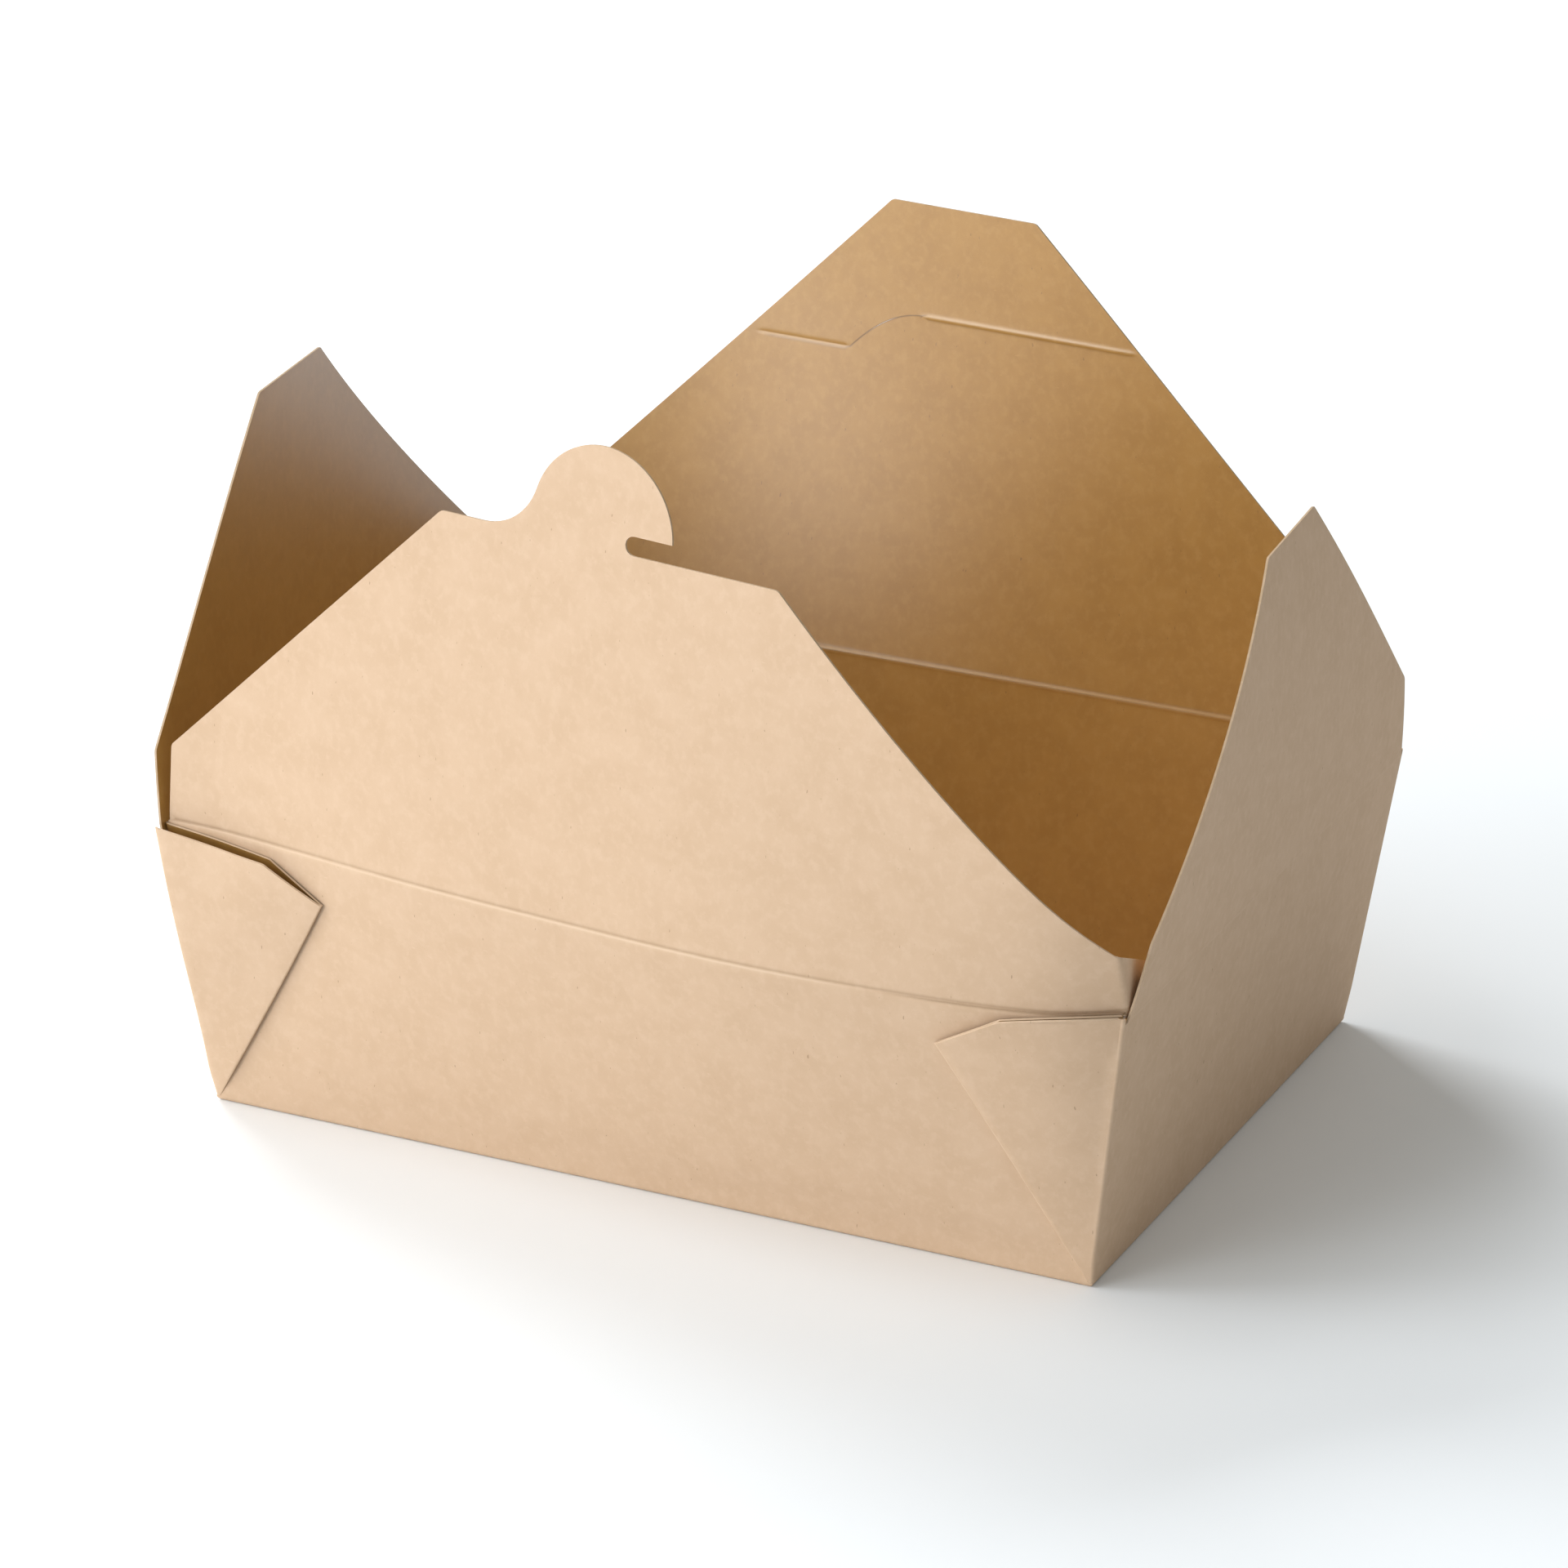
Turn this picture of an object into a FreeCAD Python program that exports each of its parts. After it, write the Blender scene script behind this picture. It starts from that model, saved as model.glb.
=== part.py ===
import FreeCAD, Part
import math
import os
from FreeCAD import Vector

# Folded kraft takeaway box: a flared tray with webbed corners and four open closing flaps.
# Origin: centre of the bottom, on its underside. +X runs along the length, -Y faces the
# front flap, +Z is up. Millimetres and degrees.

# Board
board = 0.45              # thickness of the paperboard
layer_gap = 0.12          # air between two layers folded flat on each other
fold_gap = 0.5            # height of the hinge line between a wall and its flap
score_depth = 0.12        # depth of a pressed crease line
score_width = 0.9         # width of a pressed crease line
cut_width = 0.4           # width of a die-cut slit

# Tray
base_length = 197.0       # bottom, over the end walls
base_width = 141.0        # bottom, over the folded corner webs
wall_height = 62.5        # height of the back wall's crease
end_crease_drop = 1.5     # how far the end walls' creases lie below it
front_crease_rise = 0.6   # how far the front wall's crease lies above it
end_flare = 8.1           # how far each end wall leans out at its crease
side_flare = 6.6          # how far each long wall leans out at its crease

# Bulge of the front crease: place along the wall, and how far it stands out there
front_bulge = ((-1.0, 0.0), (-0.92, -0.6), (-0.72, 1.3), (-0.42, 6.3), (-0.07, 10.4),
               (0.26, 13.1), (0.60, 11.9), (0.81, 9.1), (0.93, 4.9), (1.0, 0.0))

# Corner webs, folded flat on the outside of the long walls
web_tip_in = 37.5         # how far the web's free tip lies in from the top corner
web_tip_drop = 9.6        # how far the tip lies below the back crease
web_knee_in = 24.5        # where the web's top edge bends
web_knee_drop = 2.6       # how far the bend lies below the back crease
web_fold_wrap = 1.5       # width of a web's folded edge, in board thicknesses
left_web_stand = 2.6      # how far the loose front left web's tip stands off the wall plane

# Flaps: how far each side stands in from the tray's corner at the crease and at the top of
# the short upright side, the half width of the free edge, and the height
flap_shoulder = 15.0      # height of the short upright side next to the crease
long_base_in = 1.2
long_shoulder_in = 2.0
front_top_half = 38.9
front_height = 79.4
back_top_half = 17.3
back_height = 101.1
end_base_in = 2.1
end_shoulder_in = 3.7
end_top_half = 16.0
end_height = 75.1

# Rest pose of each flap: outward lean per height, twist along the free edge, belly at mid height
front_pose = (0.110, 0.148, 0.9)
right_pose = (0.016, -0.086, 2.9)
back_pose = (0.089, 0.093, 2.7)
left_pose = (0.145, -0.110, 2.4)

# Locking hook on the front flap
hook_centre = -1.2        # middle of the round head along the free edge
hook_radius = 16.8
hook_rise = 3.9           # height of the head's centre above the free edge
hook_fillet = 11.0        # radius of the hollow between the free edge and the head
notch_height = 3.4        # opening under the head's overhanging side
notch_end = 4.3           # how far the notch runs in, along the free edge

# Locking slit in the back flap, measured along the flap and up from its crease
slit_low = 66.7           # height of the lower crease line
slit_high = 76.2          # height of the upper crease line
slit_start = 26.7         # where the curved cut starts
slit_finish = 9.5         # where the curved cut ends
low_line_end = 47.8       # far end of the lower crease line
high_line_end = -40.2     # far end of the upper crease line
score_stop = 1.0          # plain board between the slit's ends and the crease lines

reach = base_width        # half depth of the cutting prisms, past every bulge and lean
long_wall_out = base_width / 2 - 2 * (board + layer_gap)
end_wall_out = base_length / 2
side_crease = wall_height - end_crease_drop
front_crease = wall_height + front_crease_rise
web_top = wall_height - fold_gap / 2
long_base_half = end_wall_out + end_flare - long_base_in
long_shoulder_half = end_wall_out + end_flare - long_shoulder_in
end_base_half = base_width / 2 + side_flare - end_base_in
end_shoulder_half = base_width / 2 + side_flare - end_shoulder_in


def edge_through(points, places):
    """Edge through points at given parameters, or a straight one through two points."""
    if len(points) == 2:
        return Part.makeLine(points[0], points[1])
    curve = Part.BSplineCurve()
    curve.interpolate(Points=points, Parameters=places)
    return curve.toShape()


def strip(outer, places):
    """Closed wire, one board thick, from an outer line and the same line moved inward."""
    inner = [point + Vector(0, board, 0) for point in outer]
    return Part.Wire([
        edge_through(outer, places),
        Part.makeLine(outer[-1], inner[-1]),
        edge_through(inner, places),
        Part.makeLine(inner[0], outer[0])])


def prism(wire):
    """Solid swept through the front of the box from an outline drawn in the XZ plane."""
    face = Part.Face(wire)
    face.translate(Vector(0, -reach, 0))
    return face.extrude(Vector(0, 2 * reach, 0))


def polygon_prism(points):
    """Prism of a straight-sided outline given as (x, z) points."""
    corners = [Vector(x, 0, z) for x, z in points]
    return prism(Part.makePolygon(corners + corners[:1]))


def half_length(z):
    """Outside half length of the tray at height z."""
    return end_wall_out + end_flare * z / side_crease


def long_wall(bulge, crease, layer, end_inset):
    """Layer of a long wall towards -Y, ruled from its straight base to its bulged crease."""
    top = crease - fold_gap / 2
    lift = layer * (board + layer_gap)
    places = [place for place, out in bulge]
    low = [Vector(place * (half_length(0) - end_inset), -long_wall_out - lift, 0)
           for place in places]
    high = [Vector(place * (half_length(top) - end_inset),
                   -long_wall_out - side_flare * top / crease - out - lift, top)
            for place, out in bulge]
    return Part.makeLoft([strip(low, places), strip(high, places)], True, True)


def web_outline(side):
    """Corners of a folded web on the wall towards -Y, side +1 at the right."""
    top = half_length(side_crease)
    past = top + reach
    points = ((half_length(0), 0), (top - web_tip_in, wall_height - web_tip_drop),
              (top - web_knee_in, wall_height - web_knee_drop), (top, web_top), (past, web_top),
              (past, 0))
    return [(side * x, z) for x, z in points]


def diagonal_band(side):
    """Outline of the folded edge that joins the two halves of a web."""
    foot, tip = web_outline(side)[:2]
    run = (tip[0] - foot[0], tip[1] - foot[1])
    length = math.hypot(*run)
    wrap = side * web_fold_wrap * board / length
    across = (run[1] * wrap, -run[0] * wrap)
    return [foot, tip, (tip[0] + across[0], tip[1] + across[1]),
            (foot[0] + across[0], foot[1] + across[1])]


def corner_band(side):
    """Outline of the folded edge that joins a long wall to its web."""
    end_inset = board + layer_gap
    outer = ((half_length(0) - end_inset, 0), (half_length(web_top) - end_inset, web_top))
    inner = [(x - board, z) for x, z in outer]
    return [(side * x, z) for x, z in (outer[0], outer[1], inner[1], inner[0])]


def web(bulge, crease, side):
    """One folded corner web: inner half, outer half, and the two folds that carry them."""
    end_inset = board + layer_gap
    outline = polygon_prism(web_outline(side))
    inner = long_wall(bulge, crease, 1, end_inset).common(outline)
    outer = long_wall(bulge, crease, 2, 0).common(outline)
    corner = long_wall(bulge, crease, 0.5, end_inset).common(polygon_prism(corner_band(side)))
    diagonal = long_wall(bulge, crease, 1.5, end_inset)
    diagonal = diagonal.common(polygon_prism(diagonal_band(side))).common(outline)
    return [inner, outer, corner, diagonal]


def end_wall():
    """End wall towards +X, wide enough to meet the outer web halves."""
    top = side_crease - fold_gap / 2
    base_half = base_width / 2
    top_half = base_half + side_flare * top / wall_height
    low = [Vector(half_length(0), y, 0) for y in (-base_half, base_half)]
    high = [Vector(half_length(top), y, top) for y in (-top_half, top_half)]
    inward = Vector(-board, 0, 0)
    wires = []
    for a, b in (low, high):
        wires.append(Part.makePolygon([a, b, b + inward, a + inward, a]))
    return Part.makeLoft(wires, True, True)


def turned(shape, degrees):
    """Copy of a shape turned about the vertical axis."""
    copy = shape.copy()
    copy.rotate(Vector(0, 0, 0), Vector(0, 0, 1), degrees)
    return copy


def box_body():
    """Tray: bottom, four walls and the four folded corner webs, all one sheet."""
    flat = ((-1.0, 0.0), (1.0, 0.0))
    loose = ((-1.0, 0.0), (-1.0 + web_tip_in / half_length(side_crease), left_web_stand))
    end_inset = board + layer_gap
    bottom = Part.makeBox(base_length, 2 * long_wall_out, board,
                          Vector(-end_wall_out, -long_wall_out, 0))
    pieces = [long_wall(front_bulge, front_crease, 0, end_inset)]
    pieces += web(front_bulge, front_crease, 1)
    pieces += left_front_web(loose)
    back = [long_wall(flat, wall_height, 0, end_inset)]
    back += web(flat, wall_height, 1)
    back += web(flat, wall_height, -1)
    pieces += [turned(piece, 180) for piece in back]
    pieces += [end_wall(), turned(end_wall(), 180)]
    return bottom.fuse(pieces).removeSplitter()


def left_front_web(loose):
    """Front left web, which stands a little off the wall on a straight line of its own."""
    straight = (loose[0], (1.0, loose[1][1] * 2 / (loose[1][0] + 1.0)))
    return web(straight, front_crease, -1)


def flap_outline(base_half, shoulder_half, top_half, height, free_edge):
    """Outline of a flap as a wire, with its free edge given as edges from right to left."""
    right = [Vector(base_half, 0, fold_gap / 2), Vector(shoulder_half, 0, flap_shoulder),
             Vector(top_half, 0, height)]
    left = [Vector(-point.x, 0, point.z) for point in reversed(right)]
    sides = [Part.makeLine(a, b) for a, b in zip(right, right[1:])]
    sides += free_edge
    sides += [Part.makeLine(a, b) for a, b in zip(left, left[1:])]
    sides.append(Part.makeLine(left[-1], right[0]))
    return Part.Wire(sides)


def straight_free_edge(top_half, height):
    """Plain free edge."""
    return [Part.makeLine(Vector(top_half, 0, height), Vector(-top_half, 0, height))]


def hook_free_edge():
    """Free edge of the front flap with its round locking hook and the notch beside it."""
    level = front_height
    centre = Vector(hook_centre, 0, level + hook_rise)
    notch_low = level + (hook_rise - notch_height)
    notch_round = (centre.z - notch_low) / 2
    tip = centre + Vector(hook_radius, 0, 0)
    crown = centre + Vector(0, 0, hook_radius)
    notch_in = Vector(notch_end + notch_round, 0, centre.z)
    notch_out = Vector(notch_end + notch_round, 0, level)
    notch_mid = Vector(notch_end, 0, (centre.z + level) / 2)
    rise = hook_fillet - hook_rise
    run = math.sqrt((hook_radius + hook_fillet) ** 2 - rise ** 2)
    hollow = Vector(centre.x - run, 0, level + hook_fillet)
    touch = hollow + (centre - hollow) * (hook_fillet / (hook_radius + hook_fillet))
    foot = Vector(hollow.x, 0, level)
    middle = (touch - hollow) + (foot - hollow)
    middle.normalize()
    hollow_mid = hollow + middle * hook_fillet
    return [Part.makeLine(Vector(front_top_half, 0, level), notch_out),
            Part.Arc(notch_out, notch_mid, notch_in).toShape(),
            Part.makeLine(notch_in, tip),
            Part.Arc(tip, crown, touch).toShape(),
            Part.Arc(touch, hollow_mid, foot).toShape(),
            Part.makeLine(foot, Vector(-front_top_half, 0, level))]


def flap_sheet(bulge, base_half, pose, height, top):
    """Curved sheet of a flap, from its crease at z = 0 up to the height top."""
    lean, twist, belly = pose
    wires = []
    places = [place for place, out in bulge]
    for s in (0, top / 2, top):
        r = s / height
        line = [Vector(place * base_half, -(1 - r) * out - lean * s - twist * place * base_half * r
                       - 4 * belly * r * (1 - r), s) for place, out in bulge]
        wires.append(strip(line, places))
    return Part.makeLoft(wires, True, False)


def flap(outline, bulge, base_half, pose, height, top):
    """Flap at its crease line, leaning towards -Y."""
    return flap_sheet(bulge, base_half, pose, height, top).common(prism(outline))


def seated(shape, wall_out, crease, degrees):
    """Move a flap to its wall's crease and turn it to its side of the box."""
    shape.translate(Vector(0, -wall_out, crease))
    return turned(shape, degrees)


def long_crease_out():
    """Distance of a long wall's crease from the middle of the box, without the bulge."""
    return long_wall_out + side_flare


def front_flap():
    """Front flap with its locking hook, curved by the bulged wall below it."""
    top = front_height + hook_rise + hook_radius + board
    outline = flap_outline(long_base_half, long_shoulder_half, front_top_half, front_height,
                           hook_free_edge())
    shape = flap(outline, front_bulge, half_length(side_crease), front_pose, front_height, top)
    return seated(shape, long_crease_out(), front_crease, 0)


def band_prism(points, width):
    """Prism over a narrow band that follows a straight run of (x, z) points."""
    (x0, z0), (x1, z1) = points
    length = math.hypot(x1 - x0, z1 - z0)
    dx = -(z1 - z0) / length * width / 2
    dz = (x1 - x0) / length * width / 2
    return polygon_prism([(x0 - dx, z0 - dz), (x1 - dx, z1 - dz), (x1 + dx, z1 + dz),
                          (x0 + dx, z0 + dz)])


def slit_prism():
    """Prism of the S-shaped cut between the two crease lines."""
    middle = Vector((slit_start + slit_finish) / 2, 0, (slit_low + slit_high) / 2)
    start = Vector(slit_start, 0, slit_low)
    finish = Vector(slit_finish, 0, slit_high)
    across = Vector(-cut_width, 0, 0)
    sides = []
    for shift in (Vector(0, 0, 0), across):
        curve = Part.BSplineCurve()
        curve.interpolate(Points=[start + shift, middle + shift, finish + shift],
                          InitialTangent=Vector(-1, 0, 0.1), FinalTangent=Vector(-1, 0, 0.1))
        sides.append(curve.toShape())
    ends = [Part.makeLine(point, point + across) for point in (start, finish)]
    return prism(Part.Wire([sides[0], ends[1], sides[1], ends[0]]))


def back_flap():
    """Back flap with the slit that takes the hook, and the crease lines beside it."""
    outline = flap_outline(long_base_half, long_shoulder_half, back_top_half, back_height,
                           straight_free_edge(back_top_half, back_height))
    flat = ((-1.0, 0.0), (1.0, 0.0))
    shape = flap(outline, flat, long_base_half, back_pose, back_height, back_height + board)
    inner_skin = shape.copy()
    inner_skin.translate(Vector(0, board - score_depth, 0))
    low_line = band_prism([(low_line_end, slit_low), (slit_start + score_stop, slit_low)],
                          score_width)
    high_start = slit_finish - cut_width - score_stop
    high_line = band_prism([(high_start, slit_high), (high_line_end, slit_high)], score_width)
    ridge = shape.copy()
    ridge.translate(Vector(0, score_depth, 0))
    shape = shape.cut(inner_skin.common(low_line))
    shape = shape.fuse(ridge.common(high_line)).cut(slit_prism())
    return seated(shape.removeSplitter(), long_crease_out(), wall_height, 180)


def end_flap(pose, degrees):
    """Plain end flap."""
    outline = flap_outline(end_base_half, end_shoulder_half, end_top_half, end_height,
                           straight_free_edge(end_top_half, end_height))
    flat = ((-1.0, 0.0), (1.0, 0.0))
    shape = flap(outline, flat, end_base_half, pose, end_height, end_height + board)
    return seated(shape, half_length(side_crease), side_crease, degrees)


def sub_parts():
    """Every sub-part by name."""
    return {"box_body": box_body(),
            "front_flap": front_flap(),
            "back_flap": back_flap(),
            "left_flap": end_flap(left_pose, -90),
            "right_flap": end_flap(right_pose, 90)}


os.makedirs("parts", exist_ok=True)
for name, shape in sub_parts().items():
    if len(shape.Solids) != 1 or not shape.isValid():
        raise RuntimeError("%s: %d solids, valid %s" % (name, len(shape.Solids), shape.isValid()))
    shape.Solids[0].exportStep("parts/%s.step" % name)
    print(name, "volume %.1f mm3" % shape.Volume)
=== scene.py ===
import bmesh
import bpy
import math
import numpy as np
from mathutils import Matrix, Vector
from mathutils.geometry import delaunay_2d_cdt


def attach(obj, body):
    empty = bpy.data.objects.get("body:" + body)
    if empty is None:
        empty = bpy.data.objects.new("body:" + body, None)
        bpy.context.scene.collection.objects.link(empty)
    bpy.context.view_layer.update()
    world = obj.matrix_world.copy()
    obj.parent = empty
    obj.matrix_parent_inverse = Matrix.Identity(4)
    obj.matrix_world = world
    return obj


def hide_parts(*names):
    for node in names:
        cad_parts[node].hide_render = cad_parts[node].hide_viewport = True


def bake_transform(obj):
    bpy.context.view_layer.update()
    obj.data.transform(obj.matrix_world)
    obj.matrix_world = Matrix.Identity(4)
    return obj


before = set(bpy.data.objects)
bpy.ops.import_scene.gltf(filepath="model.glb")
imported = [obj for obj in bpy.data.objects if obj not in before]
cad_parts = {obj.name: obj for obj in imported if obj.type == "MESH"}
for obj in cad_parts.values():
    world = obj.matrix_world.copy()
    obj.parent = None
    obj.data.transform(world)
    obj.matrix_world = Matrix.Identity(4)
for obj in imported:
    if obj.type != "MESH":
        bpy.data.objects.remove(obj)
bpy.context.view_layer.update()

# Folded kraft takeaway box. Lengths below are millimetres, meshes are made in metres.
MM = 0.001

# Board
BOARD = 0.45              # thickness
LAYER_AIR = 0.12          # air between two layers folded flat on each other
LAYER = 0.57              # distance between the middles of two such layers
CORNER_ROUND = 0.5        # bend radius at the upright corner edges
BASE_ROUND = 0.8          # bend radius where the walls meet the bottom

# Tray
END_HALF = 98.5           # outside half length at the bottom
END_FLARE = 8.1           # outward lean of an end wall over its height
END_CREASE = 61.0         # heights of the three kinds of crease
LONG_HALF = 70.2          # outside half width at the bottom
LONG_FLARE = 5.76         # outward lean of a long wall over its height
BACK_CREASE = 62.5
FRONT_CREASE = 63.1       # where the front flap folds, above the back's crease
FOOT = 1.3                # height at which the folded corner layers start
LAYER_RISE = 9.0          # height over which they part to their full distance
DENT = 0.35               # unevenness of the walls: long wave and short ripple
RIPPLE = 0.12
END_BOW = 0.5             # how far the end walls swell at mid height

# Bulge of the front crease: place along the wall and how far it stands out
BULGE = ((-1.0, -1.8), (-0.92, -1.5), (-0.72, 1.3), (-0.42, 6.3), (-0.07, 10.4),
         (0.26, 13.1), (0.60, 11.9), (0.81, 9.1), (0.93, 4.9), (1.0, 0.0))

# Corner webs: (x, z) of the tip and the knee of the free edge, height of its outer corner,
# how far the outer half stands open at the knee and at the corner, the edge's hump, and how
# far the diagonal fold stands off the wall. A web open by more than WEB_OPEN has painted shade on
# its fold; the others have a painted highlight there.
WEB_PLAIN = ((69.1, 52.9), (82.1, 59.9), 62.25, 0.3, 0.1, 0.0, 0.0)
WEB_FRONT_LEFT = ((68.6, 52.6), (80.6, 60.1), 62.7, 2.8, 2.8, 0.0, 0.15)
WEB_FRONT_RIGHT = ((71.2, 53.8), (84.2, 61.1), 62.7, 0.8, 1.0, 0.8, 0.5)
WEB_OPEN = 1.5
WEB_SLANT = 0.87          # distance from the diagonal fold per length along the wall
WEB_REACH = 22.0          # distance from the fold at which the outer half stands fully open
WEB_RISE = 55.0           # height at which it does so

# Strength of the pressed crease on each end wall, and of its pale line of wear and painted
# highlight
END_BEAD = {-1: 0.6, 1: 0.1}

# Small ear at the front flap's right edge, folded back into the box
EAR_DEEP = 12.5           # how far it reaches past its fold
EAR_LOW = 4.0             # heights of its two far corners
EAR_TOP = 6.9
EAR_BASE = 105.6          # place of its fold at the crease
EAR_DROP = 1.6            # how far its foot reaches below the crease
EAR_SHOULDER = (105.4, 13.4)  # place and height of its fold's upper end
EAR_ANGLE = 86.0          # how far it is turned back, in degrees
EAR_CURVE = (0.10, -0.011)  # its sideways curve, per length and per length squared

# Flaps: half widths at the crease, at the top of the short upright sides and at the free
# edge, heights, and heights of the upright sides on the left and on the right
LONG_BASE = 105.4
LONG_SHOULDER = 104.6
END_BASE = 76.0
END_SHOULDER = 73.6
FRONT_TOP = 38.9
FRONT_HEIGHT = 79.4
BACK_TOP = 17.3
BACK_HEIGHT = 101.1
END_TOP = 16.0
END_HEIGHT = 75.1
FRONT_SHOULDERS = (16.8, 15.0)
BACK_SHOULDERS = (15.0, 15.0)
LEFT_SHOULDERS = (17.0, 16.8)
RIGHT_SHOULDERS = (16.0, 18.6)
FLAP_ROUND = 0.7          # corner radius of the flaps
BOW_HALF = 106.0          # half length over which the front flap takes up its crease's bulge

# Rest pose of each flap: outward lean per height, twist along the free edge, belly at mid height
FRONT_POSE = (0.110, 0.148, 0.9)
BACK_POSE = (0.089, 0.093, 2.7)
LEFT_POSE = (0.145, -0.110, 2.4)
RIGHT_POSE = (0.016, -0.086, 2.9)

# Locking hook on the front flap
HOOK_CENTRE = -1.2        # middle of the round head along the free edge
HOOK_RADIUS = 16.2
HOOK_RISE = 3.9           # height of the head's centre above the free edge
HOOK_FILLET = 13.0        # radius of the hollow between the free edge and the head
NOTCH_END = 4.3           # how far the notch runs in, along the free edge

# Locking slit in the back flap and the pressed lines that run on from its ends
SLIT_LOW = 66.7
SLIT_HIGH = 76.2
SLIT_START = 26.7
SLIT_FINISH = 9.5
SLIT_WIDTH = 0.04
SLIT_BORDER = 0.5         # width of the strip around the cut that has points of its own
SLIT_CURVE = 1.9          # how soon the cut runs level at its upper end
LOW_LINE_END = 47.8
HIGH_LINE_END = -40.2
LINE_GAP = 0.6            # plain board between the cut and each line
LINE_WIDTH = 0.4
LOW_LINE_HEIGHT = -0.12   # above the inner face
HIGH_LINE_HEIGHT = 0.14

# Tone painted along creases, folds and lines, from -1 for painted shade in a dark gap to 1 for the
# palest wear and painted highlight
CREASE_WEAR_AND_HIGHLIGHT = 0.8
CREASE_PAINTED_SHADE = 1.2         # how far it sinks into painted shade along the right end of the bowed crease
DARK_FROM = 35.0          # where that starts, and the length over which it comes in
DARK_RUN = 40.0
LINE_FALLOFF_WIDTH = 0.32
# Painted shade on the inner half web and its turn, which lie in the gap behind the outer half
INNER_TURN_PAINTED_SHADE = -1.0
INNER_WEB_PAINTED_SHADE = -0.35
CORNER_WEAR = 0.15
# Painted shade along the slit's cut
SLIT_EDGE_PAINTED_SHADE = -0.7
# Painted shade on the fold of a wide-open web, painted highlight on the fold of a tight one
FOLD_PAINTED_SHADE = (-1.0, -1.0, -1.0, -1.0, -0.9, -0.6, -0.2, 0.0, 0.0)
FOLD_PAINTED_HIGHLIGHT = (0.0, 0.1, 0.2, 0.35, 0.4, 0.35, 0.2, 0.1, 0.0)

# Places of the pieces on the flat sheet, which keep their grain apart
INNER_SHEET = 300
FOLD_SHEET = 340
OUTER_SHEET = 380
BACK_SHEET = 700.0
END_SHEET = 450
BOTTOM_SHEET = 300
FLAP_SHEET = 37           # times the flap's height
SHEET_UNIT = 100.0        # millimetres of board per unit of the noise's space

# Noise of the board: scale, detail, roughness, and then stretch and turn where it has them
CLOUD = (11.0, 5.0, 0.6)
MOTTLE = (48.0, 3.0, 0.6, (1.0, 0.8), 12)
GRAIN = (330.0, 2.0, 0.6)
PALE_FIBRE = (120.0, 1.0, 0.5, (0.35, 1.0), 23)
FIBRE_STRETCH = (1.0, 0.35)
DARK_FIBRES = ((8, 125.0, 0.775), (97, 140.0, 0.78), (51, 160.0, 0.785))
ROUGHNESS_SPREAD = 0.06
COAT_ROUGHNESS = 0.40
BUMP_STRENGTH = 0.10
BUMP_DISTANCE = 0.0002    # metres

# Colours of the board's faces, each with a pale colour for wear and painted highlight and a dark
# colour for painted shade
OUTSIDE = dict(base=(0.60, 0.434, 0.300), dark=(0.57, 0.407, 0.275), light=(0.64, 0.476, 0.340),
               fleck=(0.32, 0.21, 0.13), pressed=(0.76, 0.60, 0.44), painted_shade=(0.16, 0.085, 0.03))
LINING = dict(base=(0.48, 0.263, 0.062), dark=(0.44, 0.235, 0.052), light=(0.53, 0.305, 0.09),
              fleck=(0.24, 0.12, 0.03), pressed=(0.66, 0.46, 0.24), painted_shade=(0.17, 0.085, 0.022))
# Cut edges in two copies: the flaps' darkened as painted shade, the tray's paler as painted
# highlight
FLAP_EDGE_PAINTED_SHADE = dict(base=(0.50, 0.37, 0.25), dark=(0.46, 0.34, 0.22), light=(0.56, 0.42, 0.30),
                fleck=(0.38, 0.27, 0.17), pressed=(0.55, 0.42, 0.30), painted_shade=(0.50, 0.37, 0.25))
TRAY_EDGE_PAINTED_HIGHLIGHT = dict(base=(0.66, 0.51, 0.365), dark=(0.62, 0.47, 0.33), light=(0.72, 0.57, 0.43),
                     fleck=(0.48, 0.35, 0.23), pressed=(0.70, 0.55, 0.41), painted_shade=(0.62, 0.48, 0.34))
FLOOR_COLOUR = (0.91, 0.955, 1.0, 1)
FLOOR_HALF = 6.0          # metres

# Soft lights: azimuth and elevation in degrees, distance and size in metres, power in watts
LIGHTS = {"front": (-40, 33, 2.4, 1.5, 12.5),
          "left_low": (-65, 18, 2.4, 1.1, 17.8),
          "left_high": (-65, 65, 2.4, 1.1, 13.0),
          "back": (-125, 45, 2.4, 1.1, 34.0),
          "card": (-25, 5, 1.5, 0.7, 11.2)}
LIGHT_TARGET = (0, 0, 0.06)
WORLD_COLOUR = (1.0, 1.0, 0.95, 1)
WORLD_STRENGTH = 0.38

# Camera: degrees, then metres, then millimetres of the sensor and the lens
CAMERA_AZIMUTH = 25.0248
CAMERA_ELEVATION = 22.2768
CAMERA_ROLL = 0.467
CAMERA_ASIDE = 0.00105
CAMERA_BELOW = 0.058316
CAMERA_DISTANCE = 1.318699
CAMERA_SENSOR = 36.0
CAMERA_LENS = 143.274


def smooth(t):
    """Smooth step from 0 to 1."""
    t = np.clip(t, 0, 1)
    return t * t * (3 - 2 * t)


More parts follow.
